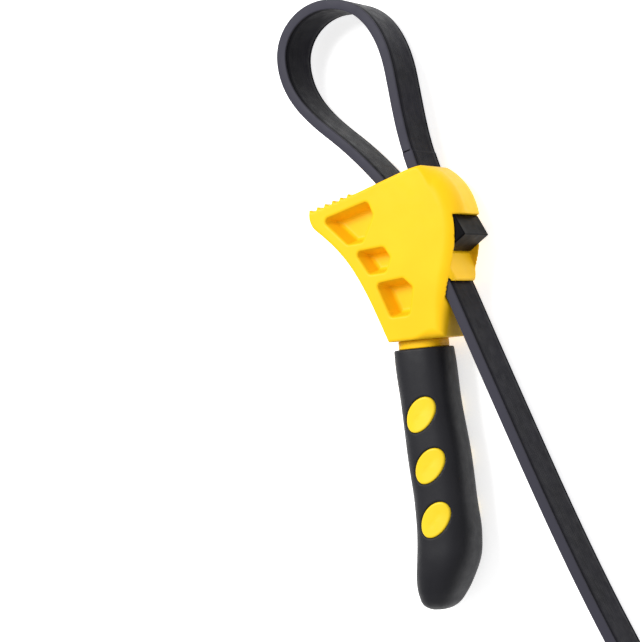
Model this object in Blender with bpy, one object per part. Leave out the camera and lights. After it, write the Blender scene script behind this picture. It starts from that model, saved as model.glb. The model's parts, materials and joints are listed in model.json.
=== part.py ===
"""Rubber-strap oil filter wrench, lying on its side.

+Z is the tool's thickness, +Y runs up the handle to the head, and +X points to the head's back.
The origin is on the head's lower resting face, on the handle's line, just above the neck.
"""

import math

import bmesh
import bpy

MM = 0.001

# Driving dimensions, in metres
HEAD_THICKNESS = 30 * MM
MID_Z = HEAD_THICKNESS / 2
STRAP_WIDTH = 25 * MM
STRAP_THICKNESS = 4.8 * MM
TOUCH_GAP = 0.3 * MM
CHANNEL_WIDTH = STRAP_WIDTH + 2 * TOUCH_GAP
CHANNEL_HALF_HEIGHT = STRAP_THICKNESS / 2 + 0.6 * MM
JAW_TEETH = 6
TOOTH_DEPTH = 1.5 * MM
POCKET_DEPTH = 9 * MM
POCKET_DRAFT = 2.4 * MM
POCKET_CORNER = 2.2 * MM
PANEL_GROOVE_DEPTH = 0.7 * MM
PANEL_GROOVE_WIDTH = 1.2

# Side fillet of the head: small along the jaw, large round the back, less at the neck
FRONT_FILLET = 1.5 * MM
TOOTH_FILLET = 0.4 * MM
BACK_FILLET = 9.2 * MM
NECK_FILLET = 4.0 * MM
NECK_FILLET_TOP = 22 * MM
FILLET_STEPS = 5
FILLET_RUN_IN = 5

# The strap's channel is an arc, so that the strap slides along it by turning about this centre
PULL_RADIUS = 200 * MM
CHANNEL_EXIT = (17.6 * MM, 18.0 * MM)
CHANNEL_EXIT_ANGLE = math.radians(21)
PULL_CENTRE = (
    CHANNEL_EXIT[0] - PULL_RADIUS * math.cos(CHANNEL_EXIT_ANGLE),
    CHANNEL_EXIT[1] - PULL_RADIUS * math.sin(CHANNEL_EXIT_ANGLE),
)

# Distances along the strap from the channel's exit, positive towards the loop
ARC_LOOP_END = 97 * MM
ARC_SPLIT = 40 * MM
ARC_TAIL_END = -4 * MM
ARC_CHANNEL_SPAN = (-40 * MM, 82 * MM)
SPLIT_GAP = 1.2 * MM

# Loop of the strap: points that it passes, with its heading in degrees from +X
LOOP_START = (3.0 * MM, 85.0 * MM, 103)
LOOP_KNOTS = (
    LOOP_START,
    (-2.1 * MM, 122.0 * MM, 97),
    (-35.5 * MM, 159.2 * MM, 180),
    (-60.7 * MM, 135.5 * MM, 270),
)
LOOP_REACH = (0.33, 0.42, 0.39, 0.36)
LOOP_LINK_UNITS = (3, 3, 3, 1, 1)
POINTS_PER_UNIT = 5
ROUTE_STEPS = 60
ARC_RUN_STEPS = 14

# Free tail of the strap after the arc
TAIL_KNOTS = (
    (47.8 * MM, -64.3 * MM, -69.5),
    (80.6 * MM, -145.3 * MM, -65.5),
    (108.0 * MM, -205.0 * MM, -65.0),
)
TAIL_REACH = (0.35, 0.33, 0.33)
TAIL_LINKS = 5
POINTS_PER_TAIL_LINK = 6

# Anchored end of the strap, from the loop's start down into the head
ANCHOR_LENGTH = 39 * MM
ANCHOR_BEND_RADIUS = 176 * MM
ANCHOR_THICKNESS = 6 * MM
ANCHOR_STEP = 2.5 * MM
ANCHOR_CHANNEL_TOP = 15 * MM
ANCHOR_CHANNEL_SPARE = 4 * MM
ANCHOR_STEPS = 8
WEDGE_PROFILE = ((25.2, 50.2), (29.9, 40.6), (19.3, 33.9), (14.6, 40.6), (12.6, 46.4), (18.8, 49.3))

# Head outline in millimetres: jaw underside, back and the three side pockets
UNDERSIDE = ((-14.8, -6.0, 111), (-31.0, 30.8, 121), (-49.2, 51.4, 139))
UNDERSIDE_REACH = (0.34, 0.34)
NOSE = ((-51.0, 54.2), (-51.8, 57.6))
TOOTH_ROW = ((-51.9, 61.5), (-27.6, 67.2))
FRONT_FACE = ((-25.7, 66.4), (3.6, 74.3))
BACK = ((10.0, 75.4, -8), (18.4, 71.3, -42), (28.6, 46.0, -89), (21.7, 17.5, -113), (14.8, -6.0, -96))
BACK_REACH = (0.36,) * 4
POCKETS = (
    ((-45.0, 56.0), (-18.8, 62.2), (-16.4, 55.0), (-23.6, 42.7), (-31.6, 42.4)),
    ((-28.6, 38.8), (-12.4, 39.6), (-9.2, 34.0), (-12.6, 27.2), (-21.4, 27.0)),
    ((-18.6, 22.6), (-3.6, 23.8), (1.2, 19.0), (-2.0, 5.9), (-12.0, 5.6)),
)
REAR_RECESS = (
    (50, 33.6),
    (19.1, 33.6),
    (22.0, 21.6),
    (21.6, 20.2),
    (18.9, 18.8),
    (18.4, 17.0),
    (30, -20),
    (50, -20),
)
WINDOW = ((50, 50.6), (24.0, 50.6), (17.6, 52.2), (11.6, 46.6), (14.1, 40.3), (18.9, 33.3), (50, 33.3))
PANEL_CENTRE = (6.0, 44.0)
PANEL_SEMI_AXES = (8.4, 19.5)
PANEL_TILT = math.radians(-9)
PANEL_POINTS = 40
OUTLINE_STEPS = 6
ARC_BAND_STEPS = 16
CORNER_STEPS = 4
CUTTER_OVERHANG = 1 * MM

# Handle stations: y, centre x, half width in x, half thickness in z, all in millimetres
GRIP_STATIONS = (
    (-10.0, -3.7, 11.9, 11.2),
    (-11.2, -3.7, 13.4, 12.7),
    (-15.0, -3.5, 13.7, 13.1),
    (-35.0, -2.6, 13.2, 13.3),
    (-63.0, -0.6, 14.3, 13.7),
    (-83.0, 0.4, 13.9, 14.0),
    (-100.0, 0.6, 14.4, 14.5),
    (-111.0, -0.9, 14.0, 15.0),
    (-120.0, -3.6, 12.5, 14.0),
    (-127.0, -5.6, 10.3, 11.8),
    (-131.5, -6.8, 7.8, 9.0),
    (-134.0, -7.2, 3.8, 4.6),
)
GRIP_EXPONENT = 2.8
GRIP_WALL = 3.2 * MM
GRIP_TOP_Y = -10.0 * MM
HOLLOW_OVERRUN = 5 * MM
NECK_Y = -6.0 * MM
COLLAR = (-3.6 * MM, 12.0 * MM, 11.0 * MM)
TANG_BOX = ((-11.5, -9.0, 8.6), (7.5, 20.0, 21.4))
CORE_END_STATION = 9

# Oval inlays: centres down the handle, the same on both sides
OVAL_CENTRES = ((-2.3, -41.3), (0.2, -65.6), (0.8, -90.9))
OVAL_SEMI_AXES = (6.4 * MM, 9.6 * MM)
OVAL_TILT = math.radians(-42)
OVAL_PROUD = 0.4 * MM
OVAL_SEAT = 2.4 * MM
OVAL_POINTS = 36
BUTT_RING = (-3.2 * MM, -117.5 * MM)
BUTT_RING_OUTER = 3.6 * MM
BUTT_RING_INNER = 2.0 * MM
BUTT_RING_SPAN = (1.0 * MM, 3.0 * MM)
BUTT_RING_POINTS = 28

YELLOW = (0.93, 0.62, 0.03)
ORANGE = (0.85, 0.27, 0.03)
RUBBER_BLACK = (0.02, 0.02, 0.024)
GRIP_BLACK = (0.028, 0.028, 0.03)
ROUND_STEPS = 8
SECTION_POINTS = 40


def clear_scene():
    for item in list(bpy.data.objects):
        bpy.data.objects.remove(item, do_unlink=True)


def material(name, colour, roughness):
    found = bpy.data.materials.new(name)
    found.use_nodes = True
    shader = found.node_tree.nodes["Principled BSDF"]
    shader.inputs["Base Color"].default_value = (*colour, 1)
    shader.inputs["Roughness"].default_value = roughness
    shader.inputs["Metallic"].default_value = 0
    return found


def add_object(name, verts, faces, finish, origin=(0, 0, 0), smooth_angle=30):
    """A closed mesh object, with its origin at the given point and its faces turned outwards."""
    mesh = bpy.data.meshes.new(name)
    local = [tuple(v[i] - origin[i] for i in range(3)) for v in verts]
    mesh.from_pydata(local, [], faces)
    work = bmesh.new()
    work.from_mesh(mesh)
    bmesh.ops.recalc_face_normals(work, faces=work.faces)
    work.to_mesh(mesh)
    work.free()
    mesh.materials.append(finish)
    mesh.shade_smooth()
    mesh.set_sharp_from_angle(angle=math.radians(smooth_angle))
    made = bpy.data.objects.new(name, mesh)
    made.location = origin
    bpy.context.scene.collection.objects.link(made)
    return made


def cut(target, cutter, operation="DIFFERENCE"):
    """Boolean with a hidden cutter, which stays out of the build."""
    cutter.hide_render = True
    cutter.display_type = "WIRE"
    modifier = target.modifiers.new(cutter.name, "BOOLEAN")
    modifier.operation = operation
    modifier.solver = "EXACT"
    modifier.object = cutter


def stacked(rings):
    """Vertices and faces of a closed solid through rings with the same number of points."""
    count = len(rings[0])
    verts = [p for ring in rings for p in ring]
    faces = [tuple(range(count))]
    faces.append(tuple((len(rings) - 1) * count + i for i in range(count)))
    for level in range(len(rings) - 1):
        for i in range(count):
            j = (i + 1) % count
            low = level * count
            faces.append((low + i, low + j, low + count + j, low + count + i))
    return verts, faces


def prism(name, outline, low, high, finish, origin=(0, 0, 0), smooth_angle=30):
    rings = [[(x, y, z) for x, y in outline] for z in (low, high)]
    return add_object(name, *stacked(rings), finish, origin, smooth_angle)


def scaled(points):
    return [(x * MM, y * MM) for x, y in points]


def bezier(start, end, reach, steps):
    """Points from start to end, each (x, y, heading in degrees), leaving out the last."""
    span = math.dist(start[:2], end[:2]) * reach
    first, last = math.radians(start[2]), math.radians(end[2])
    a = start[:2]
    b = (a[0] + span * math.cos(first), a[1] + span * math.sin(first))
    d = end[:2]
    c = (d[0] - span * math.cos(last), d[1] - span * math.sin(last))
    points = []
    for step in range(steps):
        t = step / steps
        weights = ((1 - t) ** 3, 3 * (1 - t) ** 2 * t, 3 * (1 - t) * t * t, t**3)
        points.append(tuple(sum(w * p[i] for w, p in zip(weights, (a, b, c, d))) for i in range(2)))
    return points


def curve_through(knots, reaches, steps):
    points = []
    for start, end, reach in zip(knots, knots[1:], reaches):
        points += bezier(start, end, reach, steps)
    points.append(tuple(knots[-1][:2]))
    return points


def offset_inwards(outline, distances):
    """The outline moved inwards at each point by its own distance, for a counter-clockwise outline."""
    moved = []
    count = len(outline)
    for i, (x, y) in enumerate(outline):
        (ax, ay), (bx, by) = outline[i - 1], outline[(i + 1) % count]
        length = math.hypot(bx - ax, by - ay)
        moved.append((x - (by - ay) / length * distances[i], y + (bx - ax) / length * distances[i]))
    return moved


def tooth_points():
    """Saw teeth along the jaw's gripping edge, from the tip to the smooth face."""
    (ax, ay), (bx, by) = TOOTH_ROW
    length = math.hypot(bx - ax, by - ay)
    nx, ny = (by - ay) / length, -(bx - ax) / length
    depth = TOOTH_DEPTH / MM
    points = []
    for tooth in range(JAW_TEETH):
        for share, down in ((0.1, 0.0), (0.35, 0.0), (0.65, 1.0), (0.85, 1.0)):
            if tooth == JAW_TEETH - 1 and down:
                continue
            t = (tooth + share) / (JAW_TEETH - 0.5)
            points.append((ax + (bx - ax) * t + nx * depth * down, ay + (by - ay) * t + ny * depth * down))
    return points


def head_outline():
    """Counter-clockwise head outline in metres, with the side fillet at each point."""
    under = curve_through(UNDERSIDE, UNDERSIDE_REACH, OUTLINE_STEPS)
    back = curve_through(BACK, BACK_REACH, OUTLINE_STEPS)
    teeth = tooth_points()
    points = [(x * MM, y * MM) for x, y in [*under, *NOSE, *teeth, *FRONT_FACE, *back]]
    fillets = [FRONT_FILLET] * (len(under) + len(NOSE))
    fillets += [TOOTH_FILLET] * len(teeth)
    fillets += [FRONT_FILLET] * len(FRONT_FACE)
    for i, (_, y) in enumerate(back):
        descent = min(1.0, max(0.0, (NECK_FILLET_TOP - y * MM) / (NECK_FILLET_TOP - NECK_Y)))
        full = BACK_FILLET + (NECK_FILLET - BACK_FILLET) * descent
        fillets.append(FRONT_FILLET + (full - FRONT_FILLET) * min(1.0, i / FILLET_RUN_IN))
    return points[::-1], fillets[::-1]


def head_block(finish):
    """The head's outline with filleted sides, before its openings are cut."""
    outline, fillets = head_outline()
    rings = []
    for step in range(FILLET_STEPS + 1):
        angle = math.pi / 2 * step / FILLET_STEPS
        inset = [r * (1 - math.sin(angle)) for r in fillets]
        height = [r * (1 - math.cos(angle)) for r in fillets]
        flat = offset_inwards(outline, inset)
        rings.append([(x, y, z) for (x, y), z in zip(flat, height)])
    for ring in rings[::-1]:
        rings.append([(x, y, HEAD_THICKNESS - z) for x, y, z in ring])
    return add_object("head_body", *stacked(rings), finish)


def arc_point(distance, side=0.0):
    """Point of the strap's arc, at a distance from the exit, moved outwards by side."""
    angle = CHANNEL_EXIT_ANGLE + distance / PULL_RADIUS
    radius = PULL_RADIUS + side
    return (PULL_CENTRE[0] + radius * math.cos(angle), PULL_CENTRE[1] + radius * math.sin(angle))


def arc_heading(distance):
    """Heading in degrees of the strap towards the loop, at a distance from the exit."""
    return 90 + math.degrees(CHANNEL_EXIT_ANGLE + distance / PULL_RADIUS)


def arc_run(start, end):
    """Points along the strap's arc between two distances from the exit."""
    return [arc_point(start + (end - start) * i / ARC_RUN_STEPS) for i in range(ARC_RUN_STEPS + 1)]


def arc_band(low, high, half_height):
    distances = [low + (high - low) * i / ARC_BAND_STEPS for i in range(ARC_BAND_STEPS + 1)]
    right = [arc_point(s, half_height) for s in distances]
    left = [arc_point(s, -half_height) for s in reversed(distances)]
    return right + left


def rounded_polygon(points, radius):
    """A convex outline with its corners rounded by short curves."""
    rounded = []
    count = len(points)
    for i, corner in enumerate(points):
        before, after = points[i - 1], points[(i + 1) % count]
        ends = []
        for other in (before, after):
            length = math.dist(corner, other)
            share = min(radius / length, 0.45)
            ends.append(tuple(corner[k] + (other[k] - corner[k]) * share for k in range(2)))
        for step in range(CORNER_STEPS + 1):
            t = step / CORNER_STEPS
            weights = ((1 - t) ** 2, 2 * t * (1 - t), t * t)
            pulls = (ends[0], corner, ends[1])
            rounded.append(tuple(sum(w * p[k] for w, p in zip(weights, pulls)) for k in range(2)))
    return rounded


def inset_polygon(points, distance):
    """A counter-clockwise polygon with each side moved inwards by the same distance."""
    moved = []
    count = len(points)
    for i, (x, y) in enumerate(points):
        turns = []
        for a, b in ((points[i - 1], (x, y)), ((x, y), points[(i + 1) % count])):
            length = math.dist(a, b)
            turns.append((-(b[1] - a[1]) / length, (b[0] - a[0]) / length))
        (ax, ay), (bx, by) = turns
        share = distance / (1 + ax * bx + ay * by)
        moved.append((x + (ax + bx) * share, y + (ay + by) * share))
    return moved


def pocket_cutter(name, points, face_z, inward, finish):
    """Drafted pocket cutter that starts just outside a side face."""
    corners = scaled(points[::-1])
    rings = []
    for depth, inset in ((-POCKET_DEPTH / 6, -POCKET_DRAFT / 6), (POCKET_DEPTH, POCKET_DRAFT)):
        flat = rounded_polygon(inset_polygon(corners, inset), POCKET_CORNER)
        rings.append([(x, y, face_z + inward * depth) for x, y in flat])
    return add_object(name, *stacked(rings), finish)


def ellipse(centre, semi_axes, tilt, count):
    points = []
    for i in range(count):
        angle = 2 * math.pi * i / count
        u, v = semi_axes[0] * math.cos(angle), semi_axes[1] * math.sin(angle)
        x = centre[0] + u * math.cos(tilt) - v * math.sin(tilt)
        points.append((x, centre[1] + u * math.sin(tilt) + v * math.cos(tilt)))
    return points


def box_outline(low, high):
    return [(low[0], low[1]), (high[0], low[1]), (high[0], high[1]), (low[0], high[1])]


def make_head(finish):
    head = head_block(finish)
    low, high = MID_Z - CHANNEL_WIDTH / 2, MID_Z + CHANNEL_WIDTH / 2
    channel = arc_band(*ARC_CHANNEL_SPAN, CHANNEL_HALF_HEIGHT)
    cut(head, prism("cut_channel", channel, low, high, finish))
    cut(head, prism("cut_rear_recess", scaled(REAR_RECESS), low, high, finish))
    cut(head, prism("cut_window", scaled(WINDOW), low, high, finish))
    anchor = anchor_outline(ANCHOR_THICKNESS / 2 + TOUCH_GAP, ANCHOR_CHANNEL_TOP, ANCHOR_CHANNEL_SPARE)
    cut(head, prism("cut_anchor_channel", anchor, low, high, finish))
    tang_low = [TANG_BOX[0][i] * MM - TOUCH_GAP for i in range(3)]
    tang_high = [TANG_BOX[1][i] * MM + TOUCH_GAP for i in range(3)]
    cut(head, prism("cut_tang", box_outline(tang_low, tang_high), tang_low[2], tang_high[2], finish))
    for number, points in enumerate(POCKETS, 1):
        cut(head, pocket_cutter(f"cut_pocket_{number}_top", points, HEAD_THICKNESS, -1, finish))
        cut(head, pocket_cutter(f"cut_pocket_{number}_bottom", points, 0, 1, finish))
    make_panel_groove(head, finish)
    return head


def tube(name, outer, inner, low, high, finish):
    """A closed ring between two outlines with the same number of points."""
    count = len(outer)
    verts = []
    for z in (low, high):
        verts += [(x, y, z) for x, y in outer]
        verts += [(x, y, z) for x, y in inner]
    faces = []
    for i in range(count):
        j = (i + 1) % count
        out_low, in_low, out_high, in_high = 0, count, 2 * count, 3 * count
        faces.append((out_low + i, out_low + j, out_high + j, out_high + i))
        faces.append((in_low + j, in_low + i, in_high + i, in_high + j))
        faces.append((out_low + j, out_low + i, in_low + i, in_low + j))
        faces.append((out_high + i, out_high + j, in_high + j, in_high + i))
    return add_object(name, verts, faces, finish)


def make_panel_groove(head, finish):
    """Oval outline engraved in the lower side."""
    centre = (PANEL_CENTRE[0] * MM, PANEL_CENTRE[1] * MM)
    outer_axes = [a * MM for a in PANEL_SEMI_AXES]
    inner_axes = [(a - PANEL_GROOVE_WIDTH) * MM for a in PANEL_SEMI_AXES]
    outer = ellipse(centre, outer_axes, PANEL_TILT, PANEL_POINTS)
    inner = ellipse(centre, inner_axes, PANEL_TILT, PANEL_POINTS)
    cut(head, tube("cut_panel_groove", outer, inner, -CUTTER_OVERHANG, PANEL_GROOVE_DEPTH, finish))


def anchor_centre(distance):
    """Point and unit direction of the anchored end, at a distance below the loop's start."""
    start = math.radians(LOOP_START[2] - 180)
    angle = start + distance / ANCHOR_BEND_RADIUS
    cx = LOOP_START[0] - ANCHOR_BEND_RADIUS * math.sin(start)
    cy = LOOP_START[1] + ANCHOR_BEND_RADIUS * math.cos(start)
    point = (cx + ANCHOR_BEND_RADIUS * math.sin(angle), cy - ANCHOR_BEND_RADIUS * math.cos(angle))
    return point, (math.cos(angle), math.sin(angle))


def anchor_outline(half, top, extra):
    """Band of the anchored end, from top (above the loop's start) to extra past its end."""
    left, right = [], []
    for i in range(ANCHOR_STEPS + 1):
        distance = -top + (ANCHOR_LENGTH + extra + top) * i / ANCHOR_STEPS
        (x, y), (dx, dy) = anchor_centre(distance)
        left.append((x + dy * half, y - dx * half))
        right.append((x - dy * half, y + dx * half))
    return left + right[::-1]


def half_turn(centre, heading, radius, spread):
    """Points round a centre from +spread to -spread about a heading, in radians."""
    points = []
    for i in range(ROUND_STEPS + 1):
        angle = heading + spread - 2 * spread * i / ROUND_STEPS
        points.append((centre[0] + radius * math.cos(angle), centre[1] + radius * math.sin(angle)))
    return points


def band(points, first_round, last_round):
    """Outline of a strap link along its centre points.

    The first end is hollowed round its hinge, and the last end is rounded about the next hinge.
    """
    half = STRAP_THICKNESS / 2
    hollow = half + TOUCH_GAP
    setback = math.sqrt(hollow**2 - half**2)
    headings = []
    for i in range(len(points)):
        a, b = points[max(i - 1, 0)], points[min(i + 1, len(points) - 1)]
        headings.append(math.atan2(b[1] - a[1], b[0] - a[0]))
    left, right = [], []
    for (x, y), heading in zip(points, headings):
        nx, ny = -math.sin(heading) * half, math.cos(heading) * half
        left.append((x + nx, y + ny))
        right.append((x - nx, y - ny))
    if first_round:
        spread = math.atan2(half, setback)
        start = half_turn(points[0], headings[0], hollow, spread)
        left, right = left[1:], right[1:]
    else:
        start = []
    end = half_turn(points[-1], headings[-1], half, math.pi / 2) if last_round else []
    if last_round:
        left, right = left[:-1], right[:-1]
    return start[::-1] + left + end + right[::-1]


def resample(points, spacing_count):
    """Evenly spaced points along a polyline."""
    lengths = [0.0]
    for a, b in zip(points, points[1:]):
        lengths.append(lengths[-1] + math.dist(a, b))
    found, segment = [], 0
    for i in range(spacing_count + 1):
        wanted = lengths[-1] * i / spacing_count
        while segment < len(lengths) - 2 and lengths[segment + 1] < wanted:
            segment += 1
        run = lengths[segment + 1] - lengths[segment]
        t = (wanted - lengths[segment]) / run
        a, b = points[segment], points[segment + 1]
        found.append((a[0] + (b[0] - a[0]) * t, a[1] + (b[1] - a[1]) * t))
    return found


def strap_piece(name, outline, finish, hinge):
    low = MID_Z - STRAP_WIDTH / 2
    return prism(name, outline, low, low + STRAP_WIDTH, finish, (hinge[0], hinge[1], MID_Z))


def make_loop(finish):
    """Links from the anchored end round the loop, then the curved run that enters the head."""
    x, y = arc_point(ARC_LOOP_END)
    last_knot = (x, y, arc_heading(ARC_LOOP_END) + 180)
    route = curve_through([*LOOP_KNOTS, last_knot], LOOP_REACH, ROUTE_STEPS)
    points = resample(route, sum(LOOP_LINK_UNITS) * POINTS_PER_UNIT)
    first = 0
    for number, units in enumerate(LOOP_LINK_UNITS, 1):
        last = first + units * POINTS_PER_UNIT
        run = points[first : last + 1]
        strap_piece(f"strap_loop_{number:02d}", band(run, True, True), finish, run[0])
        first = last
    run = arc_run(ARC_LOOP_END, ARC_SPLIT + SPLIT_GAP / 2)
    name = f"strap_loop_{len(LOOP_LINK_UNITS) + 1:02d}"
    strap_piece(name, band(run, True, False), finish, run[0])


def make_tail(finish):
    """The run in the lower channel and the links of the free tail."""
    run = arc_run(ARC_SPLIT - SPLIT_GAP / 2, ARC_TAIL_END)
    strap_piece("strap_channel_run", band(run, False, True), finish, PULL_CENTRE)
    x, y = arc_point(ARC_TAIL_END)
    first_knot = (x, y, arc_heading(ARC_TAIL_END) - 180)
    route = curve_through([first_knot, *TAIL_KNOTS], TAIL_REACH, ROUTE_STEPS)
    per_link = POINTS_PER_TAIL_LINK
    points = resample(route, TAIL_LINKS * per_link)
    for number in range(TAIL_LINKS):
        run = points[number * per_link : (number + 1) * per_link + 1]
        outline = band(run, True, number < TAIL_LINKS - 1)
        strap_piece(f"strap_tail_{number + 1}", outline, finish, run[0])


def make_anchor(rubber, wedge_finish):
    """The strap's thickened end and the wedge that stops it in the rear window."""
    thin, thick = STRAP_THICKNESS / 2, ANCHOR_THICKNESS / 2
    left, right = [], []
    (x, y), _ = anchor_centre(0)
    left += half_turn((x, y), math.radians(LOOP_START[2]), thin, math.pi / 2)
    stations = [(ANCHOR_STEP, thin)]
    for i in range(ANCHOR_STEPS + 1):
        stations.append((ANCHOR_STEP + (ANCHOR_LENGTH - ANCHOR_STEP) * i / ANCHOR_STEPS, thick))
    for distance, half in stations:
        (x, y), (dx, dy) = anchor_centre(distance)
        right.append((x - dy * half, y + dx * half))
        left.insert(0, (x + dy * half, y - dx * half))
    outline = left + right
    low = MID_Z - STRAP_WIDTH / 2
    prism("strap_anchor_end", outline, low, low + STRAP_WIDTH, rubber)
    prism("anchor_wedge", scaled(WEDGE_PROFILE), low, low + STRAP_WIDTH, wedge_finish)


def superellipse(centre_x, y, half_x, half_z):
    """A rounded section of the handle, across the y axis."""
    ring = []
    power = 2 / GRIP_EXPONENT
    for i in range(SECTION_POINTS):
        angle = 2 * math.pi * i / SECTION_POINTS
        c, s = math.cos(angle), math.sin(angle)
        u = math.copysign(abs(c) ** power, c) * half_x
        v = math.copysign(abs(s) ** power, s) * half_z
        ring.append((centre_x + u, y, MID_Z + v))
    return ring


def grip_rings(shrink, first=0, last=None):
    """Rings of the handle's section, smaller by shrink than the outside."""
    rings = []
    for y, centre_x, half_x, half_z in GRIP_STATIONS[first:last]:
        rings.append(superellipse(centre_x * MM, y * MM, half_x * MM - shrink, half_z * MM - shrink))
    return rings


def moved_along(ring, distance):
    return [(x, y + distance, z) for x, y, z in ring]


def make_core(finish):
    """Rigid core: tang for the head, collar, and the stem inside the grip."""
    centre_x, half_x, half_z = COLLAR
    stem = grip_rings(GRIP_WALL + TOUCH_GAP, 1, CORE_END_STATION)
    stem_top_y = GRIP_TOP_Y + TOUCH_GAP
    stem[0] = moved_along(stem[0], stem_top_y - stem[0][0][1])
    stem[-1] = moved_along(stem[-1], TOUCH_GAP)
    collar = [superellipse(centre_x, y, half_x, half_z) for y in (NECK_Y - TOUCH_GAP, stem_top_y)]
    core = add_object("handle_core", *stacked(collar + stem), finish)
    low, high = [[v * MM for v in corner] for corner in TANG_BOX]
    cut(core, prism("join_tang", box_outline(low, high), low[2], high[2], finish), "UNION")


def half_thickness_at(y):
    """Half thickness of the grip at a distance up the handle."""
    for (y0, _, _, half0), (y1, _, _, half1) in zip(GRIP_STATIONS, GRIP_STATIONS[1:]):
        if y1 <= y <= y0:
            return (half0 + (half1 - half0) * (y - y0) / (y1 - y0)) * MM
    return 0


def oval_prism(name, centre, grow, low, high, finish):
    semi_axes = [a + grow for a in OVAL_SEMI_AXES]
    middle = (centre[0] * MM, centre[1] * MM)
    return prism(name, ellipse(middle, semi_axes, OVAL_TILT, OVAL_POINTS), low, high, finish)


def make_inlays(grip, finish):
    """Oval inlays in both sides of the grip, trimmed to just proud of its surface."""
    for number, centre in enumerate(OVAL_CENTRES, 1):
        floor = half_thickness_at(centre[1]) - OVAL_SEAT
        for side, sign in (("top", 1), ("bottom", -1)):
            near = MID_Z + sign * floor
            far = MID_Z + sign * HEAD_THICKNESS
            pocket = oval_prism(f"cut_oval_{number}_{side}", centre, TOUCH_GAP, near, far, finish)
            cut(grip, pocket)
            seat = near + sign * TOUCH_GAP
            inlay = oval_prism(f"oval_inlay_{number}_{side}", centre, 0, seat, far, finish)
            limit = add_object(f"trim_oval_{number}_{side}", *stacked(grip_rings(-OVAL_PROUD)), finish)
            cut(inlay, limit, "INTERSECT")


def make_butt_ring(grip, finish):
    """Ring set in the lower side of the grip, near its end."""
    outlines = [ellipse(BUTT_RING, (r, r), 0, BUTT_RING_POINTS) for r in (BUTT_RING_OUTER, BUTT_RING_INNER)]
    low, high = BUTT_RING_SPAN
    tube("butt_ring", *outlines, low, high, finish)
    socket = ellipse(BUTT_RING, [BUTT_RING_OUTER + TOUCH_GAP] * 2, 0, BUTT_RING_POINTS)
    cut(grip, prism("cut_butt_ring", socket, -CUTTER_OVERHANG, high + TOUCH_GAP, finish))


def make_handle(yellow, orange, grip_black):
    make_core(yellow)
    grip = add_object("grip_sleeve", *stacked(grip_rings(0)), grip_black)
    hollow = grip_rings(GRIP_WALL, 1, CORE_END_STATION)
    hollow[0] = moved_along(hollow[0], HOLLOW_OVERRUN)
    cut(grip, add_object("cut_core_hollow", *stacked(hollow), grip_black))
    make_inlays(grip, yellow)
    make_butt_ring(grip, orange)


def main():
    clear_scene()
    yellow = material("yellow_plastic", YELLOW, 0.35)
    orange = material("orange_plastic", ORANGE, 0.4)
    rubber = material("strap_rubber", RUBBER_BLACK, 0.5)
    grip_black = material("grip_rubber", GRIP_BLACK, 0.7)
    make_head(yellow)
    make_handle(yellow, orange, grip_black)
    make_anchor(rubber, rubber)
    make_loop(rubber)
    make_tail(rubber)


main()
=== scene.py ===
"""Looks of the rubber-strap oil filter wrench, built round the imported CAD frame."""

import json
import math

import bpy
import numpy as np
from mathutils import Matrix, Vector


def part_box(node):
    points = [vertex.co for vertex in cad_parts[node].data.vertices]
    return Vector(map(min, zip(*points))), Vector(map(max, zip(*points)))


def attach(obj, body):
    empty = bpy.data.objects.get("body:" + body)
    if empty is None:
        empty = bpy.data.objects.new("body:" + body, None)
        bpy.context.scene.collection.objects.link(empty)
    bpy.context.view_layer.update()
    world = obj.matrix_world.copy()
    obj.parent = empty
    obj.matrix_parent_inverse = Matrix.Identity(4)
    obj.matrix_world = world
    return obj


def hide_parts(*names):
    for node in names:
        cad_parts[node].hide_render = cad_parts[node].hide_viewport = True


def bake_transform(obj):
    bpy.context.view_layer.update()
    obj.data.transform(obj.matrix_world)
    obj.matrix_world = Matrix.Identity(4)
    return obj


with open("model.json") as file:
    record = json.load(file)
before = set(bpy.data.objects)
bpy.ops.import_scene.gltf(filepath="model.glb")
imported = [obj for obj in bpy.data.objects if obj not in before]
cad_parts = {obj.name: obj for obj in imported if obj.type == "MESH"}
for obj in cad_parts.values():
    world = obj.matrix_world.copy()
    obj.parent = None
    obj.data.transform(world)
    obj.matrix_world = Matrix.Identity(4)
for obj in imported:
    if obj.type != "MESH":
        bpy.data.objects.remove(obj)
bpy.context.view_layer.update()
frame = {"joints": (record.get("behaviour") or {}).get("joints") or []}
MM = 0.001

# ---------------------------------------------------------------- dimensions, in metres
HEAD_LOW, HEAD_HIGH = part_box("head_body")
MID_Z = (HEAD_LOW.z + HEAD_HIGH.z) / 2
HALF_HEAD = (HEAD_HIGH.z - HEAD_LOW.z) / 2
STRAP_LOW, STRAP_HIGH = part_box("strap_channel_run")
STRAP_HALF_WIDTH = (STRAP_HIGH.z - STRAP_LOW.z) / 2
STRAP_HALF = 2.4
JOINT = {j["name"]: Vector(j["pos_m"]) for j in frame["joints"]}
PULL_CENTRE = JOINT["strap_pull"]
PULL_RADIUS = 200 * MM
SLOT_HALF = STRAP_HALF_WIDTH + 0.3 * MM


# ---------------------------------------------------------------- small geometry helpers
def collection_link(obj):
    bpy.context.scene.collection.objects.link(obj)
    return obj


def mesh_object(name, verts, faces, material, smooth_angle=None):
    mesh = bpy.data.meshes.new(name)
    mesh.from_pydata([tuple(v) for v in verts], [], [tuple(f) for f in faces])
    mesh.update()
    mesh.materials.append(material)
    mesh.shade_smooth()
    if smooth_angle is not None:
        mesh.set_sharp_from_angle(angle=math.radians(smooth_angle))
    return collection_link(bpy.data.objects.new(name, mesh))


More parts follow.
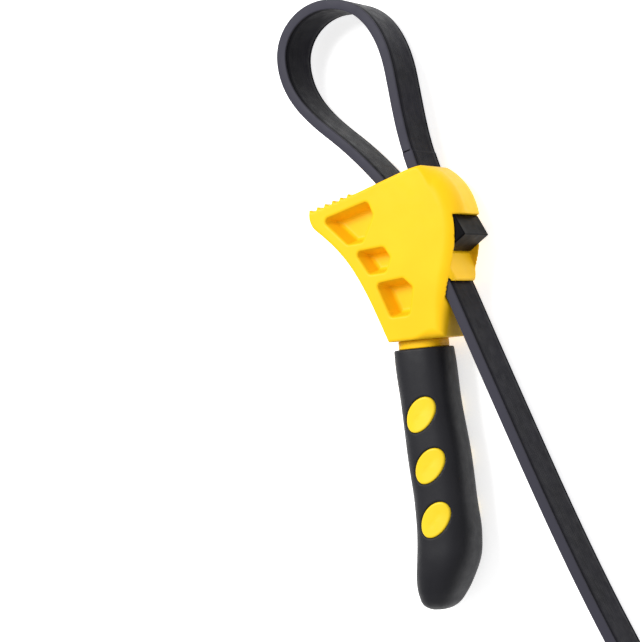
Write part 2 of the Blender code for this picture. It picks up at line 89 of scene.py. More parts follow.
def bezier(start, end, reach, steps):
    """Points between two (x, y, heading in degrees) knots, in the knots' units, without the last."""
    a, d = np.array(start[:2]), np.array(end[:2])
    span = np.linalg.norm(d - a) * reach
    first, last = math.radians(start[2]), math.radians(end[2])
    b = a + span * np.array([math.cos(first), math.sin(first)])
    c = d - span * np.array([math.cos(last), math.sin(last)])
    t = (np.arange(steps) / steps)[:, None]
    return (1 - t) ** 3 * a + 3 * (1 - t) ** 2 * t * b + 3 * (1 - t) * t**2 * c + t**3 * d


def curve_through(knots, reaches, steps):
    runs = [bezier(a, b, r, steps) for a, b, r in zip(knots, knots[1:], reaches)]
    return np.vstack([*runs, np.array([knots[-1][:2]])])


# ---------------------------------------------------------------- distance fields, metres, negative inside
def polygon_field(x, y, points):
    """Signed distance in the XY plane to a closed outline."""
    points = np.asarray(points)
    best = np.full(np.broadcast(x, y).shape, 1e9)
    inside = np.zeros(best.shape, bool)
    for (ax, ay), (bx, by) in zip(points, np.roll(points, -1, axis=0)):
        ex, ey = bx - ax, by - ay
        length = ex * ex + ey * ey
        if length < 1e-14:
            continue
        t = np.clip(((x - ax) * ex + (y - ay) * ey) / length, 0, 1)
        best = np.minimum(best, (x - ax - ex * t) ** 2 + (y - ay - ey * t) ** 2)
        crosses = (ay > y) != (by > y)
        with np.errstate(divide="ignore", invalid="ignore"):
            side = x < ex * (y - ay) / (ey if ey else 1e-12) + ax
        inside ^= crosses & side
    return np.where(inside, -1, 1) * np.sqrt(best)


def both(a, b, radius):
    """Where both fields are inside, with the outer edge between them rounded."""
    sharp = np.minimum(np.maximum(a, b), -radius)
    return sharp + np.hypot(np.maximum(a + radius, 0), np.maximum(b + radius, 0))


def minus(a, cut, radius):
    """Field a without the cut, with a rounded rim."""
    return both(a, -cut, radius)


def ellipse_field(x, y, centre, semi_axes, tilt):
    """Close to the signed distance to a tilted ellipse."""
    c, s = math.cos(tilt), math.sin(tilt)
    u = (x - centre[0]) * c + (y - centre[1]) * s
    v = -(x - centre[0]) * s + (y - centre[1]) * c
    level = np.hypot(u / semi_axes[0], v / semi_axes[1])
    slope = np.hypot(u / semi_axes[0] ** 2, v / semi_axes[1] ** 2)
    return level * (level - 1) / np.maximum(slope, 1e-6)


def mesh_from_field(name, field, low, high, cell, material, relax=2):
    """A closed mesh on the surface where the field is zero, one vertex to a crossed grid cell."""
    low, high = np.array(low, float), np.array(high, float)
    counts = np.ceil((high - low) / cell).astype(int) + 1
    axes = [low[i] + cell * np.arange(counts[i]) for i in range(3)]
    values = field(axes[0][:, None, None], axes[1][None, :, None], axes[2][None, None, :])
    values = np.broadcast_to(values, tuple(counts)).copy()
    values[np.abs(values) < 1e-9] = 1e-9
    inner = values < 0
    total = np.zeros((*(counts - 1), 3))
    hits = np.zeros(tuple(counts - 1))
    quads = []
    for axis in range(3):
        others = [i for i in range(3) if i != axis]
        lower = tuple(slice(0, -1) if i == axis else slice(None) for i in range(3))
        upper = tuple(slice(1, None) if i == axis else slice(None) for i in range(3))
        crossing = inner[lower] != inner[upper]
        with np.errstate(divide="ignore", invalid="ignore"):
            share = values[lower] / (values[lower] - values[upper])
        at = np.argwhere(crossing)
        t = share[crossing]
        point = low + at * cell
        point[:, axis] += t * cell
        goes_out = inner[lower][crossing]
        cells = []
        for da, db in ((0, 0), (-1, 0), (-1, -1), (0, -1)):
            index = at.copy()
            index[:, others[0]] += da
            index[:, others[1]] += db
            cells.append(index)
        valid = np.ones(len(at), bool)
        for index in cells:
            valid &= ((index >= 0) & (index < counts - 1)).all(axis=1)
        for index in cells:
            np.add.at(total, tuple(index[valid].T), point[valid])
            np.add.at(hits, tuple(index[valid].T), 1)
        flip = goes_out if axis != 1 else ~goes_out
        ordered = np.stack([c[valid] for c in cells], 1)
        backwards = ~flip[valid]
        ordered[backwards] = ordered[backwards][:, ::-1]
        quads.append(ordered)
    used = hits > 0
    number = np.full(used.shape, -1)
    number[used] = np.arange(used.sum())
    points = total[used] / hits[used][:, None]
    faces = number[tuple(np.moveaxis(np.vstack(quads), -1, 0))]
    points = settle(points, faces, field, cell, relax)
    obj = mesh_object(name, points, faces, material)
    return obj


def gradient(field, points, step):
    slopes = []
    for axis in range(3):
        shift = np.zeros(3)
        shift[axis] = step
        ahead, behind = points + shift, points - shift
        slopes.append((field(*ahead.T) - field(*behind.T)) / (2 * step))
    return np.stack(slopes, -1)


def onto_surface(points, field, cell):
    slope = gradient(field, points, cell * 0.1)
    size = np.maximum((slope**2).sum(1), 1e-4)
    move = slope * (field(*points.T) / size)[:, None]
    length = np.linalg.norm(move, axis=1)
    limit = np.minimum(1, 0.5 * cell / np.maximum(length, 1e-12))
    return points - move * limit[:, None]


def settle(points, faces, field, cell, relax):
    """Evens out the vertices and puts each one on the field's surface."""
    for _ in range(relax):
        total = np.zeros_like(points)
        hits = np.zeros(len(points))
        for a, b in ((0, 1), (1, 2), (2, 3), (3, 0)):
            for p, q in ((a, b), (b, a)):
                np.add.at(total, faces[:, p], points[faces[:, q]])
                np.add.at(hits, faces[:, p], 1)
        points = points * 0.5 + 0.5 * total / hits[:, None]
        points = onto_surface(points, field, cell)
    for _ in range(2):
        points = onto_surface(points, field, cell)
    return points


# ---------------------------------------------------------------- procedural materials
def new_material(name):
    found = bpy.data.materials.new(name)
    found.use_nodes = True
    tree = found.node_tree
    return found, tree, tree.nodes["Principled BSDF"]


def link(tree, source, output, target, socket):
    tree.links.new(source.outputs[output], target.inputs[socket])


def noise_node(tree, coordinates, scale, detail, stretch=(1, 1, 1)):
    mapping = tree.nodes.new("ShaderNodeMapping")
    mapping.inputs["Scale"].default_value = stretch
    link(tree, coordinates, "Object", mapping, "Vector")
    noise = tree.nodes.new("ShaderNodeTexNoise")
    noise.inputs["Scale"].default_value = scale
    noise.inputs["Detail"].default_value = detail
    link(tree, mapping, "Vector", noise, "Vector")
    return noise


def ramp_node(tree, source, output, stops):
    ramp = tree.nodes.new("ShaderNodeValToRGB")
    ramp.color_ramp.elements[0].position = stops[0][0]
    ramp.color_ramp.elements[0].color = stops[0][1]
    ramp.color_ramp.elements[1].position = stops[-1][0]
    ramp.color_ramp.elements[1].color = stops[-1][1]
    for position, colour in stops[1:-1]:
        ramp.color_ramp.elements.new(position).color = colour
    link(tree, source, output, ramp, "Fac")
    return ramp


def grey(value):
    return (value, value, value, 1)


def painted_edge_highlight(tree, coordinates, colour, edge):
    """The colour, with a painted highlight in the edge colour added near both side edges of the strap."""
    mapping = tree.nodes.new("ShaderNodeMapping")
    mapping.inputs["Scale"].default_value = (1, 1, 1 / (2 * MID_Z))
    link(tree, coordinates, "Object", mapping, "Vector")
    parts = tree.nodes.new("ShaderNodeSeparateXYZ")
    link(tree, mapping, "Vector", parts, "Vector")
    rim = (STRAP_HIGH.z - 0.25 * MM) / (2 * MID_Z)
    face = (STRAP_HIGH.z - 0.6 * MM) / (2 * MID_Z)
    dark, light = (0, 0, 0, 1), (*edge, 1)
    # Light stops paint the highlight at both edges; dark stops leave the faces unchanged.
    stops = [(1 - rim, light), (1 - face, dark), (face, dark), (rim, light)]
    painted_highlight_band = ramp_node(tree, parts, "Z", stops)
    add = tree.nodes.new("ShaderNodeMix")
    add.data_type = "RGBA"
    add.blend_type = "ADD"
    add.inputs["Factor"].default_value = 1
    tree.links.new(colour.outputs["Color"], add.inputs["A"])
    tree.links.new(painted_highlight_band.outputs["Color"], add.inputs["B"])
    return add


def plastic(name, low_colour, high_colour, rough, bumps, shine, edge=None, patch=45):
    """Moulded plastic or rubber: patchy colour, patchy roughness and layers of fine bumps.

    Each bump is (scale, detail, stretch, strength, distance in metres). The shine is the specular
    level, and an edge colour adds a painted highlight along both side edges of the strap.
    """
    made, tree, shader = new_material(name)
    coordinates = tree.nodes.new("ShaderNodeTexCoord")
    patches = noise_node(tree, coordinates, patch, 3)
    colour = ramp_node(tree, patches, "Fac", [(0.32, (*low_colour, 1)), (0.68, (*high_colour, 1))])
    # The strap's side edges get a painted highlight in the edge colour.
    if edge:
        mixed = painted_edge_highlight(tree, coordinates, colour, edge)
        link(tree, mixed, "Result", shader, "Base Color")
    else:
        link(tree, colour, "Color", shader, "Base Color")
    shader.inputs["Specular IOR Level"].default_value = shine
    smears = noise_node(tree, coordinates, patch * 4.7, 4)
    roughness = ramp_node(tree, smears, "Fac", [(0.3, grey(rough[0])), (0.7, grey(rough[1]))])
    link(tree, roughness, "Color", shader, "Roughness")
    previous = None
    for scale, detail, stretch, strength, distance in bumps:
        relief = noise_node(tree, coordinates, scale, detail, stretch)
        bump = tree.nodes.new("ShaderNodeBump")
        bump.inputs["Strength"].default_value = strength
        bump.inputs["Distance"].default_value = distance
        link(tree, relief, "Fac", bump, "Height")
        if previous:
            link(tree, previous, "Normal", bump, "Normal")
        previous = bump
    link(tree, previous, "Normal", shader, "Normal")
    return made


YELLOW = plastic(
    "head_yellow", (0.91, 0.525, 0.006), (0.94, 0.555, 0.009), (0.38, 0.48),
    [(900, 3, (1, 1, 1), 0.10, 0.0002), (60, 2, (1, 1, 1), 0.06, 0.001)], 0.14)
INLAY = plastic(
    "inlay_yellow", (0.84, 0.58, 0.008), (0.88, 0.62, 0.014), (0.34, 0.46),
    [(1200, 2, (1, 1, 1), 0.12, 0.0002)], 0.35)
GRIP = plastic(
    "grip_rubber", (0.0090, 0.0090, 0.0120), (0.0135, 0.0135, 0.0170), (0.46, 0.58),
    [(2600, 2, (1, 1, 1), 0.30, 0.00018), (140, 3, (1, 1, 1), 0.10, 0.0006)], 0.24)
# The strap's edge colour is a painted highlight along both of its side edges.
STRAP = plastic(
    "strap_rubber", (0.0012, 0.0010, 0.0034), (0.0034, 0.0030, 0.0076), (0.36, 0.50),
    [(60, 4, (0.02, 0.02, 30), 0.35, 0.0004), (700, 3, (1, 1, 1), 0.16, 0.0002)], 0.045,
    edge=(0.046, 0.045, 0.056))
WEDGE = plastic(
    "wedge_plastic", (0.0016, 0.0016, 0.0022), (0.0034, 0.0034, 0.0044), (0.34, 0.48),
    [(1100, 3, (1, 1, 1), 0.15, 0.0002)], 0.04)
# The butt ring is the same yellow moulding as the head; its orange colour is painted shade.
RING = plastic(
    "ring_yellow_painted_shade", (0.78, 0.20, 0.012), (0.84, 0.25, 0.018), (0.36, 0.5),
    [(1200, 2, (1, 1, 1), 0.12, 0.0002)], 0.4)


# ---------------------------------------------------------------- head
UNDERSIDE = ((-14.8, -6.0, 111), (-31.0, 30.8, 121), (-49.2, 51.4, 139))
NOSE = ((-50.6, 53.0), (-51.5, 54.9), (-52.0, 57.0), (-52.0, 59.2))
TOOTH_ROW = ((-51.9, 61.5), (-27.6, 67.2))
FRONT_FACE = ((-25.7, 66.4), (3.6, 74.3))
BACK = ((10.0, 75.4, -8), (18.4, 71.3, -42), (28.6, 46.0, -89), (21.7, 17.5, -113), (14.8, -6.0, -96))
POCKETS = (
    ((-45.0, 56.0), (-18.8, 62.2), (-16.4, 55.0), (-23.6, 42.7), (-31.6, 42.4)),
    ((-28.6, 38.8), (-12.4, 39.6), (-9.2, 34.0), (-12.6, 27.2), (-21.4, 27.0)),
    ((-18.6, 22.6), (-3.6, 23.8), (1.2, 19.0), (-2.0, 5.9), (-12.0, 5.6)),
)
REAR_RECESS = (
    (50, 33.6), (19.1, 33.6), (22.0, 21.6), (21.6, 20.2),
    (18.9, 18.8), (18.4, 17.0), (30, -20), (50, -20),
)
WINDOW = ((50, 50.6), (24.0, 50.6), (17.6, 52.2), (11.6, 46.6), (14.1, 40.3), (18.9, 33.3), (50, 33.3))
WEDGE_PROFILE = ((25.2, 50.2), (29.9, 40.6), (19.3, 33.9), (14.6, 40.6), (12.6, 46.4), (18.8, 49.3))
PANEL_CENTRE, PANEL_SEMI_AXES, PANEL_TILT = (6.0, 44.0), (7.8, 18.9), math.radians(-9)
TOOTH_WAVE = ((0.0, 0.45), (0.06, 0.86), (0.12, 1.0), (0.20, 0.92), (0.32, 0.62), (0.45, 0.28),
              (0.58, 0.07), (0.70, 0.0), (0.82, 0.03), (0.92, 0.16))
TEETH, TOOTH_DEPTH = 6, 1.5
FRONT_FILLET, NECK_FILLET, BACK_FILLET = 1.3 * MM, 4.0 * MM, 9.2 * MM
NECK_Y, FILLET_RISE, FILLET_SPREAD = -6.0 * MM, 28 * MM, 10 * MM
CHANNEL_HALF, ANCHOR_CHANNEL_HALF = 3.0 * MM, 3.3 * MM
CHANNEL_FOOT, ANCHOR_CHANNEL_FOOT = -22 * MM, 42 * MM
SLOT_RIM, SLOT_CORNER = 0.5 * MM, 0.6 * MM
POCKET_DEPTH, POCKET_SLOPE, POCKET_CORNER = 9.0 * MM, 0.267, 2.2 * MM
POCKET_FLOOR, POCKET_RIM = 1.6 * MM, 0.8 * MM
GROOVE_HALF, GROOVE_DEPTH, GROOVE_ROUND = 0.6 * MM, 0.7 * MM, 0.3 * MM
HEAD_CELL, FINE_CELL, GRIP_CELL, COLLAR_CELL = 0.55 * MM, 0.3 * MM, 0.6 * MM, 0.4 * MM
MARGIN = Vector((MM, MM, MM))
ANCHOR_CENTRE = (174.49 * MM, 124.59 * MM)
ANCHOR_RADIUS = 176 * MM
LOOP_START = (3.0, 85.0, 103)


def scaled(points):
    return np.array([(p[0] * MM, p[1] * MM) for p in points])


def shrunk(points, distance):
    """A polygon with each side moved inwards by the same distance."""
    points = np.asarray(points, float)
    following = np.roll(points, -1, axis=0)
    area = np.sum(points[:, 0] * following[:, 1] - following[:, 0] * points[:, 1])
    edges = following - points
    edges /= np.linalg.norm(edges, axis=1)[:, None]
    normals = np.stack([-edges[:, 1], edges[:, 0]], -1) * np.sign(area)
    before = np.roll(normals, 1, axis=0)
    share = distance / (1 + (normals * before).sum(1))
    return points + (normals + before) * share[:, None]


def soft_polygon(x, y, points, corner):
    """Field of a polygon with its corners rounded."""
    return polygon_field(x, y, shrunk(points, corner)) - corner


def tooth_points():
    (ax, ay), (bx, by) = TOOTH_ROW
    length = math.hypot(bx - ax, by - ay)
    nx, ny = (by - ay) / length, -(bx - ax) / length
    points = []
    for tooth in range(TEETH):
        for share, height in TOOTH_WAVE:
            t = (tooth + share) / (TEETH - 0.42)
            if t > 0.985:
                continue
            down = TOOTH_DEPTH * (1 - height)
            points.append((ax + (bx - ax) * t + nx * down, ay + (by - ay) * t + ny * down))
    return points


def head_outline():
    under = curve_through(UNDERSIDE, (0.34, 0.34), 14)
    back = curve_through(BACK, (0.36,) * 4, 12)
    return scaled([*under, *NOSE, *tooth_points(), *FRONT_FACE, *back])


HEAD_OUTLINE = head_outline()


def head_fillet(x, y):
    """The side fillet: small along the jaw, large round the back and less at the neck."""
    side = x - (-2 * MM + 0.115 * (y - NECK_Y))
    growth = np.clip(side / FILLET_SPREAD, 0, 1)
    rise = np.clip((y - NECK_Y) / FILLET_RISE, 0, 1)
    full = NECK_FILLET + (BACK_FILLET - NECK_FILLET) * rise
    return FRONT_FILLET + (full - FRONT_FILLET) * growth * growth * (3 - 2 * growth)


def head_field(x, y, z):
    across = np.abs(z - MID_Z)
    body = both(polygon_field(x, y, HEAD_OUTLINE), across - HALF_HEAD, head_fillet(x, y))
    slot = across - SLOT_HALF
    radius = np.hypot(x - PULL_CENTRE.x, y - PULL_CENTRE.y) - PULL_RADIUS
    channel = both(np.maximum(np.abs(radius) - CHANNEL_HALF, slot), CHANNEL_FOOT - y, GROOVE_ROUND)
    channel = np.maximum(channel, np.where(x < -100 * MM, 1.0, -1.0))
    body = minus(body, channel, SLOT_RIM)
    from_bend = np.hypot(x - ANCHOR_CENTRE[0], y - ANCHOR_CENTRE[1]) - ANCHOR_RADIUS
    belt = np.abs(from_bend) - ANCHOR_CHANNEL_HALF
    body = minus(body, np.maximum(np.maximum(belt, slot), ANCHOR_CHANNEL_FOOT - y), SLOT_RIM)
    for points in (WINDOW, REAR_RECESS):
        body = minus(body, np.maximum(soft_polygon(x, y, scaled(points), SLOT_CORNER), slot), SLOT_RIM)
    depth = HALF_HEAD - across
    for points in POCKETS:
        wall = soft_polygon(x, y, scaled(points), POCKET_CORNER) + POCKET_SLOPE * depth
        upright = wall / math.hypot(1, POCKET_SLOPE)
        body = minus(body, both(upright, depth - POCKET_DEPTH, POCKET_FLOOR), POCKET_RIM)
    rim = ellipse_field(x, y, [c * MM for c in PANEL_CENTRE], [a * MM for a in PANEL_SEMI_AXES], PANEL_TILT)
    groove = both(np.abs(rim) - GROOVE_HALF, z - GROOVE_DEPTH, GROOVE_ROUND)
    return minus(body, groove, GROOVE_ROUND)


head = mesh_from_field("head_shell", head_field, HEAD_LOW - MARGIN, HEAD_HIGH + MARGIN, HEAD_CELL, YELLOW)
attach(head, "wrench_body")
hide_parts("head_body")


def wedge_field(x, y, z):
    profile = soft_polygon(x, y, scaled(WEDGE_PROFILE), 0.4 * MM)
    return both(profile, np.abs(z - MID_Z) - STRAP_HALF_WIDTH, 0.5 * MM)


WEDGE_LOW, WEDGE_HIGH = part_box("anchor_wedge")
wedge = mesh_from_field("wedge_block", wedge_field, WEDGE_LOW - MARGIN, WEDGE_HIGH + MARGIN, FINE_CELL, WEDGE)
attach(wedge, "wrench_body")
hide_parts("anchor_wedge")


# ---------------------------------------------------------------- handle
GRIP_STATIONS = np.array((
    (-10.0, -3.7, 13.5, 12.8), (-15.0, -3.5, 13.7, 13.1), (-35.0, -2.5, 13.5, 13.3),
    (-63.0, -0.6, 14.3, 13.7), (-83.0, 0.4, 13.9, 14.0), (-100.0, 0.6, 14.4, 14.5),
    (-111.0, -0.9, 14.0, 15.0), (-120.0, -3.6, 12.5, 14.0), (-127.0, -5.6, 10.3, 11.8),
    (-131.5, -6.8, 7.8, 9.0), (-134.0, -7.2, 5.0, 6.0), (-137.0, -7.6, 2.0, 2.5),
)) * MM
GRIP_POWER = 2.7
GRIP_TOP, GRIP_END = -10.0 * MM, -134.0 * MM
OVAL_CENTRES = ((-2.3, -41.3), (0.2, -65.6), (0.8, -90.9))
OVAL_SEMI_AXES = (6.4 * MM, 9.6 * MM)
OVAL_TILT = math.radians(-42)
OVAL_GAP, OVAL_SEAT, OVAL_CROWN, OVAL_LIFT = 0.12 * MM, 1.6 * MM, 0.35 * MM, 0.25 * MM
COLLAR_X, COLLAR_Y, COLLAR_HALF_X, COLLAR_HALF_Z = -3.6 * MM, -8.0 * MM, 11.4 * MM, 11.0 * MM
RING_CENTRE = (-3.2 * MM, -117.5 * MM)


def smooth_stations(values, table):
    """Cubic interpolation through the table's columns with the slopes of its neighbours."""
    keys = table[:, 0]
    rows = table[:, 1:]
    slopes = np.gradient(rows, keys, axis=0)
    rising = keys[::-1]
    index = len(keys) - 1 - np.clip(np.searchsorted(rising, values), 1, len(keys) - 1)
    span = keys[index + 1] - keys[index]
    t = np.clip((values - keys[index]) / span, 0, 1)
    found = []
    for column in range(rows.shape[1]):
        a, b = rows[index, column], rows[index + 1, column]
        da, db = slopes[index, column] * span, slopes[index + 1, column] * span
        found.append((2 * t**3 - 3 * t**2 + 1) * a + (t**3 - 2 * t**2 + t) * da
                     + (3 * t**2 - 2 * t**3) * b + (t**3 - t**2) * db)
    return found


def grip_surface(x, y, z):
    """The plain outside of the grip, with its rounded ends."""
    centre, half_x, half_z = smooth_stations(y, GRIP_STATIONS)
    u, v = np.abs(x - centre) / half_x, np.abs(z - MID_Z) / half_z
    level = (u**GRIP_POWER + v**GRIP_POWER) ** (1 / GRIP_POWER)
    slope = np.hypot((u / np.maximum(level, 1e-6)) ** (GRIP_POWER - 1) / half_x,
                     (v / np.maximum(level, 1e-6)) ** (GRIP_POWER - 1) / half_z)
    side = (level - 1) / np.maximum(slope, 1e-3)
    return both(both(side, y - GRIP_TOP, 0.8 * MM), GRIP_END - y, 2.2 * MM)


def oval_plan(x, y, centre, grow=0.0):
    middle = [c * MM for c in centre]
    return ellipse_field(x, y, middle, [a + grow for a in OVAL_SEMI_AXES], OVAL_TILT)


def grip_field(x, y, z):
    body = grip_surface(x, y, z)
    for centre in OVAL_CENTRES:
        seat = np.maximum(oval_plan(x, y, centre, OVAL_GAP), -(body + OVAL_SEAT))
        body = minus(body, seat, 0.4 * MM)
    ring = np.hypot(x - RING_CENTRE[0], y - RING_CENTRE[1])
    return minus(body, both(ring - 3.9 * MM, z - 3.3 * MM, 0.3 * MM), 0.4 * MM)


GRIP_LOW, GRIP_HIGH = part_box("grip_sleeve")
GRIP_MARGIN = Vector((MM, 1.5 * MM, MM))
grip = mesh_from_field("grip_cover", grip_field, GRIP_LOW - GRIP_MARGIN, GRIP_HIGH + MARGIN, GRIP_CELL, GRIP)
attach(grip, "wrench_body")
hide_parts("grip_sleeve")


def make_oval(number, side):
    centre = OVAL_CENTRES[number - 1]
    node = f"oval_inlay_{number}_{side}"

    def field(x, y, z):
        plan = oval_plan(x, y, centre)
        crown = OVAL_CROWN * np.clip(1 + plan / OVAL_SEMI_AXES[0], 0, 1)
        outside = grip_surface(x, y, z)
        solid = both(plan, outside - OVAL_LIFT + OVAL_CROWN - crown, 0.9 * MM)
        return np.maximum(solid, -(outside + 1.5 * MM))

    low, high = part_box(node)
    margin = 0.8 * MARGIN
    piece = mesh_from_field(f"oval_{number}_{side}", field, low - margin, high + margin, FINE_CELL, INLAY)
    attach(piece, "wrench_body")
    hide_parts(node)


for oval_number in range(1, len(OVAL_CENTRES) + 1):
    make_oval(oval_number, "top")
    make_oval(oval_number, "bottom")


def collar_field(x, y, z):
    u, v = np.abs(x - COLLAR_X) / COLLAR_HALF_X, np.abs(z - MID_Z) / COLLAR_HALF_Z
    level = (u**GRIP_POWER + v**GRIP_POWER) ** (1 / GRIP_POWER)
    side = (level - 1) * COLLAR_HALF_Z
    return both(side, np.abs(y - COLLAR_Y) - 1.95 * MM, 0.4 * MM)


collar = mesh_from_field("neck_collar", collar_field, (-0.0166, -0.0106, 0.003),
                         (0.0096, -0.0054, 0.027), COLLAR_CELL, YELLOW)
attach(collar, "wrench_body")
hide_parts("handle_core")


def revolved(name, centre, profile, steps, material):
    """A ring turned about a vertical line through centre, from (radius, z) points."""
    verts, faces = [], []
    count = len(profile)
    for i in range(steps):
        angle = 2 * math.pi * i / steps
        for radius, z in profile:
            verts.append((centre[0] + radius * math.cos(angle), centre[1] + radius * math.sin(angle), z))
        for k in range(count):
            a, b = i * count + k, i * count + (k + 1) % count
            step = ((i + 1) % steps - i) * count
            faces.append((a, a + step, b + step, b))
    return mesh_object(name, verts, faces, material, 60)


RING_PROFILE = [
    (2.78 * MM + 0.78 * MM * math.cos(a), 2 * MM + 0.95 * MM * math.sin(a))
    for a in (2 * math.pi * k / 20 for k in range(20))
]
ring = revolved("butt_ring_visual", RING_CENTRE, RING_PROFILE, 48, RING)
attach(ring, "wrench_body")
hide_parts("butt_ring")


# ---------------------------------------------------------------- strap
EXIT_ANGLE = math.radians(21)
LOOP_KNOTS = (LOOP_START, (-2.1, 122.0, 97), (-35.5, 159.2, 180), (-60.7, 135.5, 270))
LOOP_REACH = (0.33, 0.42, 0.39, 0.36)
LOOP_LINK_UNITS = (3, 3, 3, 1, 1)
ARC_LOOP_END, ARC_TAIL_END = 97.0, -4.0
TAIL_KNOTS = ((47.8, -64.3, -69.5), (80.6, -145.3, -65.5), (108.0, -205.0, -65.0))
TAIL_REACH = (0.35, 0.33, 0.33)
TAIL_LINKS = 5
SPLIT, SPLIT_GAP = 40.0, 1.2


def arc_point(distance):
    """Point on the strap's arc in millimetres, and the heading towards the loop in degrees."""
    angle = EXIT_ANGLE + distance / 200
    x = PULL_CENTRE.x / MM + 200 * math.cos(angle)
    y = PULL_CENTRE.y / MM + 200 * math.sin(angle)
    return x, y, 90 + math.degrees(angle)


def strap_section(half, groove=0.22, rib=0.0):
    """Cross-section as (offset from the middle line, height over the middle), in millimetres."""
    edge, corner, line = 12.5, 0.45, 11.1
    arc = [(math.cos(a), math.sin(a)) for a in np.linspace(0, math.pi / 2, 4)]
    face = [(half, line - 0.45), (half - groove, line), (half, line + 0.45)]
    inner = np.linspace(-(line - 0.45), line - 0.45, 9)[1:-1]
    right = [(half, -z) for _, z in face[::-1]]
    right[1] = (half - groove, -line)
    right += [(half + rib, z) for z in inner]
    right += face
    top = [(half - corner + corner * c, edge - corner + corner * s) for c, s in arc]
    left = [(-x + (rib if abs(z) < line - 0.5 else 0), z) for x, z in reversed(right)]
    top_left = [(-x, z) for x, z in reversed(top)]
    bottom_left = [(-x, -z) for x, z in top]
    bottom = [(x, -z) for x, z in reversed(top)]
    return np.array([*right, *top, *top_left, *left, *bottom_left, *bottom])


def swept(name, points, sections, material):
    """A strap piece along centre points in millimetres, one section to a point, with flat ends."""
    points = np.asarray(points, float)
    ahead = np.vstack([points[1:], 2 * points[-1] - points[-2]])
    behind = np.vstack([2 * points[0] - points[1], points[:-1]])
    heading = ahead - behind
    heading /= np.linalg.norm(heading, axis=1)[:, None]
    normal = np.stack([heading[:, 1], -heading[:, 0]], -1)
    count = len(sections[0])
    verts = []
    for point, side, section in zip(points, normal, sections):
        flat = point + side * section[:, :1]
        verts += [(x * MM, y * MM, MID_Z + z * MM) for (x, y), z in zip(flat, section[:, 1])]
    faces = []
    for level in range(len(points) - 1):
        for i in range(count):
            j = (i + 1) % count
            a, b = level * count, (level + 1) * count
            faces.append((a + i, b + i, b + j, a + j))
    faces.append(tuple(range(count)))
    faces.append(tuple((len(points) - 1) * count + i for i in reversed(range(count))))
    return mesh_object(name, verts, faces, material, 38)


def belt_piece(name, route, start, stop):
    """The plain strap between two distances along a route, with a point at each end."""
    runs = np.linalg.norm(np.diff(route, axis=0), axis=1)
    along = np.r_[0, np.cumsum(runs)]
    count = max(3, int(round((stop - start) / 0.8)))
    wanted = np.linspace(start, stop, count + 1)
    points = np.stack([np.interp(wanted, along, route[:, i]) for i in range(2)], -1)
    return swept(name, points, [strap_section(STRAP_HALF)] * len(points), STRAP)


def length_of(route):
    return np.linalg.norm(np.diff(route, axis=0), axis=1).sum()


def blended(piece, second):
    """Bakes a strap piece's placement into its mesh; the piece is not bent across its hinge.

    The second body has the name of its only node, which the piece replaces.
    """
    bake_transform(piece)
    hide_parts(second)


# The loop's route starts a little below the first hinge, on the anchored end
def anchor_point(distance):
    start = math.radians(LOOP_START[2] - 180)
    angle = start + distance / 176
    return (ANCHOR_CENTRE[0] / MM + 176 * math.sin(angle), ANCHOR_CENTRE[1] / MM - 176 * math.cos(angle))


LEAD = 2.4
arc_end = arc_point(ARC_LOOP_END)
loop_route = curve_through([*LOOP_KNOTS, (arc_end[0], arc_end[1], arc_end[2] + 180)], LOOP_REACH, 60)
UNIT = length_of(loop_route) / sum(LOOP_LINK_UNITS)
arc_run = np.array([arc_point(s)[:2] for s in np.linspace(ARC_LOOP_END, SPLIT + SPLIT_GAP / 2, 60)])
lead_run = np.array([anchor_point(s) for s in np.linspace(LEAD, 0, 5)])
loop_route = np.vstack([lead_run[:-1], loop_route, arc_run[1:]])
LOOP_TOTAL = length_of(loop_route)

hinges = LEAD + UNIT * np.r_[0, np.cumsum(LOOP_LINK_UNITS)]
middles = np.r_[0, (hinges[:-1] + hinges[1:]) / 2, LOOP_TOTAL]
bodies = ["wrench_body"] + [f"strap_loop_{i:02d}" for i in range(1, len(hinges) + 1)]
for i, hinge in enumerate(hinges):
    piece = belt_piece(f"strap_loop_part_{i + 1:02d}", loop_route, middles[i], middles[i + 1])
    blended(piece, bodies[i + 1])

# Tail: the run in the channel, then the links of the free end
tail_start = arc_point(ARC_TAIL_END)
channel_run = np.array([arc_point(s)[:2] for s in np.linspace(SPLIT - SPLIT_GAP / 2, ARC_TAIL_END, 60)])
free_run = curve_through([(tail_start[0], tail_start[1], tail_start[2] - 180), *TAIL_KNOTS], TAIL_REACH, 60)
tail_route = np.vstack([channel_run, free_run[1:]])
CHANNEL_LENGTH, FREE_LENGTH = length_of(channel_run), length_of(free_run)
TAIL_LINK = FREE_LENGTH / TAIL_LINKS
bodies = ["strap_channel"] + [f"strap_tail_{i}" for i in range(1, TAIL_LINKS + 1)]
for i in range(TAIL_LINKS):
    hinge = CHANNEL_LENGTH + i * TAIL_LINK
    start = 0 if i == 0 else hinge - TAIL_LINK / 2
    stop = CHANNEL_LENGTH + FREE_LENGTH if i == TAIL_LINKS - 1 else hinge + TAIL_LINK / 2
    piece = belt_piece(f"strap_tail_part_{i + 1}", tail_route, start, stop)
    blended(piece, bodies[i + 1])
    if i == 0:
        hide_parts("strap_channel_run")

# Anchored end: thicker, with a border line and cross ribs on its faces
distances = np.arange(LEAD - 0.6, 39.0, 0.3)
sections = []
for distance in distances:
    growth = min(1.0, max(0.0, (distance - LEAD + 0.3) / 0.9))
    half = 2.42 + 0.24 * growth * growth * (3 - 2 * growth)
    ribbed = growth > 0.99 and (distance % 1.5) < 0.75
    sections.append(strap_section(half, 0.2, 0.08 if ribbed else -0.14))
anchored = swept("strap_anchored_end", [anchor_point(d) for d in distances], sections, STRAP)
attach(anchored, "wrench_body")
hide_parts("strap_anchor_end")


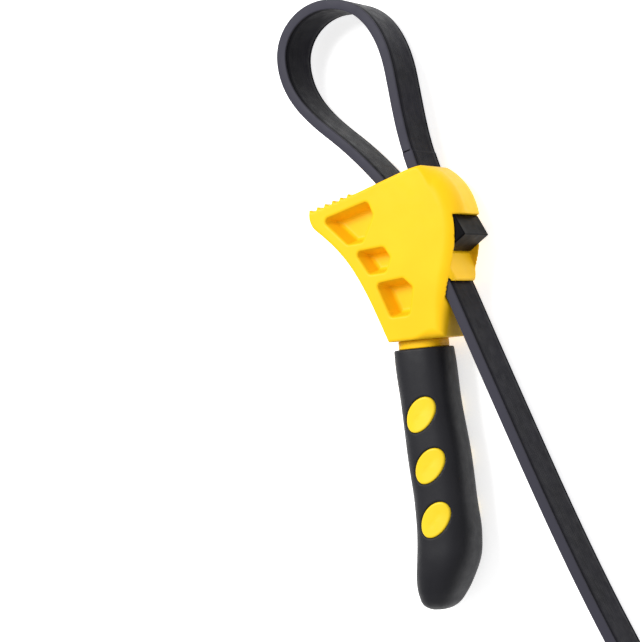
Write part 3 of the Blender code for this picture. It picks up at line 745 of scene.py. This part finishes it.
# ---------------------------------------------------------------- floor, light, camera
def make_floor():
    size = 3.0
    floor = mesh_object(
        "studio_floor",
        [(-size, -size, -0.0004), (size, -size, -0.0004), (size, size, -0.0004), (-size, size, -0.0004)],
        [(0, 1, 2, 3)], floor_material())


def floor_material():
    made, tree, shader = new_material("floor_white")
    coordinates = tree.nodes.new("ShaderNodeTexCoord")
    grain = noise_node(tree, coordinates, 3, 2)
    tone = ramp_node(tree, grain, "Fac", [(0.3, grey(0.88)), (0.7, grey(0.90))])
    link(tree, tone, "Color", shader, "Base Color")
    shader.inputs["Roughness"].default_value = 0.6
    shader.inputs["Emission Color"].default_value = grey(1.0)
    shader.inputs["Emission Strength"].default_value = 0.66
    return made


def area_light(name, position, target, size, power, colour=(1, 1, 1)):
    data = bpy.data.lights.new(name, "AREA")
    data.shape = "DISK"
    data.size = size
    data.energy = power
    data.color = colour
    lamp = collection_link(bpy.data.objects.new(name, data))
    lamp.location = position
    lamp.rotation_euler = (Vector(target) - Vector(position)).to_track_quat("-Z", "Y").to_euler()


make_floor()
world = bpy.data.worlds.new("studio")
bpy.context.scene.world = world
world.use_nodes = True
world.node_tree.nodes["Background"].inputs["Color"].default_value = grey(1.0)
world.node_tree.nodes["Background"].inputs["Strength"].default_value = 0.55
area_light("key", (-0.45, 0.55, 1.1), (-0.01, 0.02, 0.015), 0.6, 16)
area_light("rear_fill", (1.1, 0.35, 0.7), (0.0, 0.0, 0.015), 0.6, 1)

CAMERA_BACK = Vector((0.50726, -0.03316, 0.86116)).normalized()
CAMERA_UP = Vector((0.0963, 0.9952, -0.0184)).normalized()
CAMERA_RIGHT = CAMERA_UP.cross(CAMERA_BACK).normalized()
CAMERA_UP = CAMERA_BACK.cross(CAMERA_RIGHT)
data = bpy.data.cameras.new("photo_view")
data.lens = 119.44
data.sensor_width = 36
data.clip_end = 20
camera = collection_link(bpy.data.objects.new("photo_view", data))
turn = Matrix((CAMERA_RIGHT, CAMERA_UP, CAMERA_BACK)).transposed().to_4x4()
camera.matrix_world = Matrix.Translation(Vector((469.8, -26.2, 913.7)) * MM) @ turn
scene = bpy.context.scene
scene.camera = camera
scene.view_settings.view_transform = "Standard"
scene.view_settings.look = "None"
